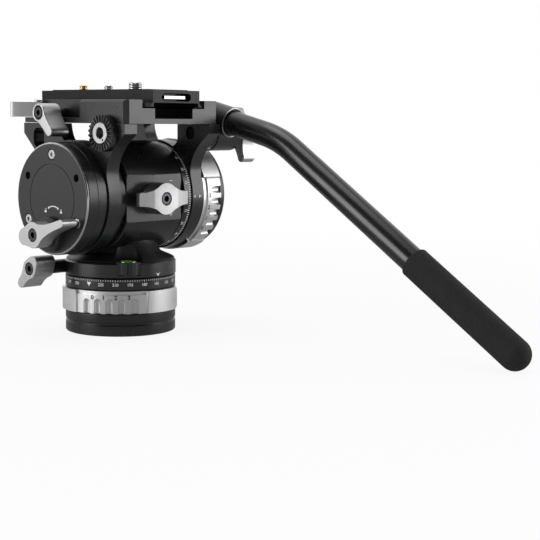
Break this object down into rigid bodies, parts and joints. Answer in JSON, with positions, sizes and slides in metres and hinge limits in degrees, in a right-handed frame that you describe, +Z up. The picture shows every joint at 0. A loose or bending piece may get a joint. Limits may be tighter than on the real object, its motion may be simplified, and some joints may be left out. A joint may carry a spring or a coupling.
{
  "type": "fluid video head",
  "caption": "Tilting and panning camera head with selectable drag rings, counterbalance knob, sliding dovetail plate, lock levers and a bent pan bar with a grip.",
  "frame": {"origin": "centre of the tripod socket's mouth, on the pan axis and in the base's seating face", "axes": "+Z up along the pan axis, +Y where the lens looks, +X to the operator's right when facing +Y"},
  "size_m": [0.1695, 0.3666, 0.1778],
  "materials": {
    "black": "black anodised, satin",
    "silver": "bright machined and blasted",
    "steel": "turned",
    "dark_steel": "blackened",
    "brass": "turned",
    "rubber": "matte",
    "fluid": "clear green",
    "lining": "matte"
  },
  "bodies": {
    "base": {"base_body": "black", "thread_insert": "steel", "pan_axle": "steel", "pan_bearing_lower": "steel", "pan_drag_stator": "dark_steel", "pan_scale_ring": "black"},
    "pan_ring": {"pan_drag_ring": "silver"},
    "pan": {"pan_disc": "black", "pan_seal": "rubber", "pan_brake_pin": "lining", "pan_bearing_upper": "steel", "pan_drag_rotor": "steel", "level_housing": "black", "level_vial": "fluid", "main_housing": "black", "left_collar": "black", "tilt_shaft": "steel", "tilt_drag_rotor": "steel", "counterbalance_spring": "steel", "left_drum": "black", "left_cap": "black", "left_cap_screw_1": "steel", "left_cap_screw_2": "steel", "left_cap_screw_3": "steel", "tilt_brake_pad": "lining"},
    "pan_lock": {"pan_lock_lever": "silver", "pan_lock_screw": "steel"},
    "tilt_lock": {"tilt_lock_lever": "silver", "tilt_lock_screw": "steel"},
    "counterbalance": {"counterbalance_knob": "silver", "counterbalance_screw": "steel"},
    "tilt": {"left_arm": "black", "right_arm": "black", "tilt_bearing_left": "steel", "tilt_bearing_right": "steel", "tilt_scale_ring": "black", "right_drum": "black", "right_cap": "black", "left_rosette": "black", "left_rosette_insert": "steel", "right_rosette": "black", "platform": "black", "fixed_jaw": "silver", "safety_catch_pin": "steel"},
    "tilt_ring": {"tilt_drag_ring": "silver"},
    "jaw": {"clamp_jaw": "silver"},
    "plate_lock": {"plate_lock_lever": "silver", "plate_lock_screw": "steel"},
    "catch": {"safety_catch": "silver"},
    "plate": {"camera_plate": "black", "plate_pad": "rubber", "plate_end_bar": "steel", "video_pin": "brass"},
    "quarter_screw": {"quarter_inch_screw": "steel"},
    "three_eighth": {"three_eighth_screw": "steel"},
    "bar": {"bar_clamp": "black", "bar_tube": "black", "bar_grip": "rubber"},
    "bar_lock": {"bar_clamp_lever": "silver", "bar_clamp_screw": "steel"}
  },
  "joints": [
    {"name": "pan", "type": "hinge", "parent": "base", "child": "pan", "pos_m": [0, 0, 0.0465], "axis": [0, 0, 1], "continuous": true},
    {"name": "pan_drag_setting", "type": "hinge", "parent": "base", "child": "pan_ring", "pos_m": [0, 0, 0.0243], "axis": [0, 0, 1], "range_deg": [-42, 3]},
    {"name": "pan_lock", "type": "hinge", "parent": "pan", "child": "pan_lock", "pos_m": [-0.054, 0.026, 0.0463], "axis": [1, 0, 0], "range_deg": [-45, 45]},
    {"name": "tilt_lock", "type": "hinge", "parent": "pan", "child": "tilt_lock", "pos_m": [-0.0735, -0.0005, 0.073], "axis": [1, 0, 0], "range_deg": [-60, 30]},
    {"name": "counterbalance_setting", "type": "hinge", "parent": "pan", "child": "counterbalance", "pos_m": [0, -0.043, 0.097], "axis": [0, -1, 0], "range_deg": [-35, 35]},
    {"name": "tilt", "type": "hinge", "parent": "pan", "child": "tilt", "pos_m": [0, 0, 0.097], "axis": [1, 0, 0], "range_deg": [-90, 75]},
    {"name": "tilt_drag_setting", "type": "hinge", "parent": "tilt", "child": "tilt_ring", "pos_m": [0.054, 0, 0.097], "axis": [1, 0, 0], "range_deg": [-37, 1]},
    {"name": "plate_lock", "type": "hinge", "parent": "tilt", "child": "plate_lock", "pos_m": [-0.05, 0.016, 0.1559], "axis": [1, 0, 0], "range_deg": [-70, 0]},
    {"name": "jaw_slide", "type": "slide", "parent": "tilt", "child": "jaw", "axis": [1, 0, 0], "range_m": [-0.001, 0]},
    {"name": "safety_catch", "type": "hinge", "parent": "tilt", "child": "catch", "pos_m": [-0.04065, 0.042, 0.158], "axis": [0, 0, 1], "range_deg": [-15, 40]},
    {"name": "plate_slide", "type": "slide", "parent": "tilt", "child": "plate", "axis": [0, 1, 0], "range_m": [-0.035, 0.035]},
    {"name": "quarter_inch_turn", "type": "hinge", "parent": "plate", "child": "quarter_screw", "pos_m": [0, 0.0125, 0.168], "axis": [0, 0, 1], "continuous": true},
    {"name": "three_eighth_turn", "type": "hinge", "parent": "plate", "child": "three_eighth", "pos_m": [0, -0.0164, 0.168], "axis": [0, 0, 1], "continuous": true},
    {"name": "pan_bar", "type": "hinge", "parent": "tilt", "child": "bar", "pos_m": [0.062, -0.0371, 0.1425], "axis": [1, 0, 0], "range_deg": [-60, 50]},
    {"name": "bar_lock", "type": "hinge", "parent": "bar", "child": "bar_lock", "pos_m": [0.084, -0.0371, 0.1425], "axis": [1, 0, 0], "range_deg": [-45, 45]}
  ],
  "couplings": [
    {"joint": "jaw_slide", "follows": "plate_lock", "m_per_rad": 0.000818}
  ]
}
